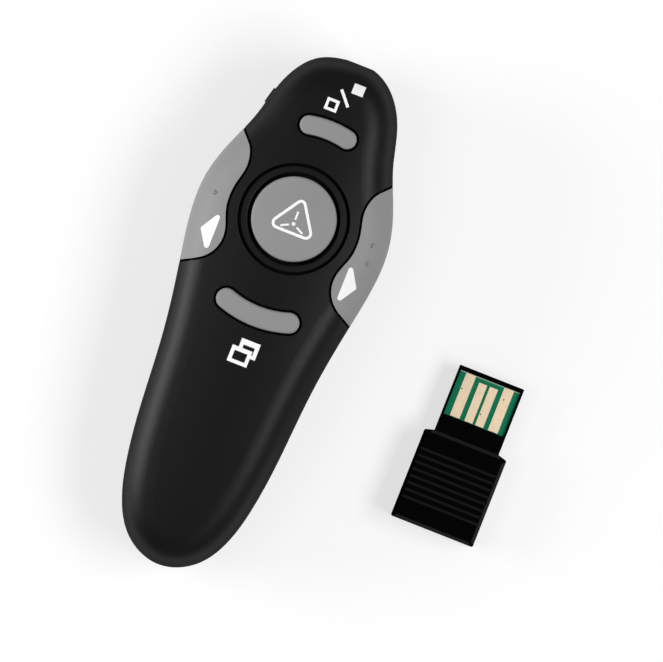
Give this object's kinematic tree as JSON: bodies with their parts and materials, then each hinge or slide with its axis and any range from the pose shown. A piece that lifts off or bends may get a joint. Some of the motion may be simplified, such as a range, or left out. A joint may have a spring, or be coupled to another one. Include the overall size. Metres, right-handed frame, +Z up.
{
  "type": "wireless presentation clicker with usb receiver",
  "caption": "Slim black presentation clicker with a round laser key in a ring, curved keys around it, side arrow keys, battery door, and a loose USB receiver beside it.",
  "frame": {"origin": "middle of the handheld's plan on its flat back, on the outer face of the battery door", "axes": "+Y towards the nose where the laser leaves, +Z up through the keys, +X to the handheld's right, where the receiver lies"},
  "size_m": [0.0671, 0.0934, 0.0226],
  "materials": {
    "case_black": "soft satin black",
    "ring_black": "polished black",
    "key_grey": "soft mid grey",
    "window_red": "dark red tinted",
    "lens_clear": "clear",
    "board_green": "solder mask green",
    "chip_black": "dull black",
    "chip_tan": "fired ceramic",
    "plunger_white": "off white",
    "steel": "nickel plated",
    "screw_steel": "dark zinc",
    "barrel_brass": "turned",
    "contact_gold": "pale gold plated",
    "cell_wrap": "printed sleeve, plain",
    "receiver_black": "polished black"
  },
  "bodies": {
    "handheld": {"top_shell": "case_black", "bottom_shell": "case_black", "bezel_ring": "ring_black", "nose_window": "window_red", "main_board": "board_green", "power_switch": "chip_black", "laser_barrel": "barrel_brass", "laser_lens": "lens_clear", "laser_diode": "steel", "laser_driver": "board_green", "radio_chip": "chip_black", "crystal_can": "steel", "chip_parts": "chip_tan", "battery_left": "cell_wrap", "battery_right": "cell_wrap", "spring_left": "steel", "spring_right": "steel", "positive_plate": "steel", "negative_plate": "steel", "bridge_plate": "steel", "case_screws": "screw_steel", "board_screws": "screw_steel", "laser_switch": "chip_black", "slideshow_switch": "chip_black", "window_switch": "chip_black", "previous_switch": "chip_black", "next_switch": "chip_black"},
    "laser_button": {"laser_key": "key_grey", "laser_plunger": "plunger_white"},
    "slideshow_button": {"slideshow_key": "key_grey", "slideshow_plunger": "plunger_white"},
    "window_button": {"window_key": "key_grey", "window_plunger": "plunger_white"},
    "previous_button": {"previous_key": "key_grey", "previous_plunger": "plunger_white"},
    "next_button": {"next_key": "key_grey", "next_plunger": "plunger_white"},
    "power_slider": {"power_knob": "case_black", "power_lever": "chip_black"},
    "door": {"battery_door": "case_black", "door_latch": "case_black"},
    "receiver": {"receiver_cover": "receiver_black", "receiver_base": "receiver_black", "receiver_board": "board_green", "receiver_contacts": "contact_gold", "receiver_chip": "chip_black", "receiver_crystal": "steel", "receiver_parts": "chip_tan"}
  },
  "joints": [
    {"name": "laser_press", "type": "slide", "parent": "handheld", "child": "laser_button", "axis": [0, 0, -1], "range_m": [0, 0.0005], "stiffness_N_per_m": 1200, "springref_m": -0.0005},
    {"name": "slideshow_press", "type": "slide", "parent": "handheld", "child": "slideshow_button", "axis": [0, 0, -1], "range_m": [0, 0.0005], "stiffness_N_per_m": 1200, "springref_m": -0.0005},
    {"name": "window_press", "type": "slide", "parent": "handheld", "child": "window_button", "axis": [0, 0, -1], "range_m": [0, 0.0005], "stiffness_N_per_m": 1200, "springref_m": -0.0005},
    {"name": "previous_press", "type": "slide", "parent": "handheld", "child": "previous_button", "axis": [0, 0, -1], "range_m": [0, 0.0005], "stiffness_N_per_m": 1200, "springref_m": -0.0005},
    {"name": "next_press", "type": "slide", "parent": "handheld", "child": "next_button", "axis": [0, 0, -1], "range_m": [0, 0.0005], "stiffness_N_per_m": 1200, "springref_m": -0.0005},
    {"name": "power_slide", "type": "slide", "parent": "handheld", "child": "power_slider", "axis": [0.2439, 0.9698, 0], "range_m": [0, 0.0015]},
    {"name": "door_hinge", "type": "hinge", "parent": "handheld", "child": "door", "pos_m": [0, 0.021, 0], "axis": [1, 0, 0], "range_deg": [0, 70], "deforming": ["door_latch"]},
    {"name": "receiver_lift", "type": "slide", "parent": "handheld", "child": "receiver", "axis": [0, 0, 1], "range_m": [0, 0.04]}
  ]
}
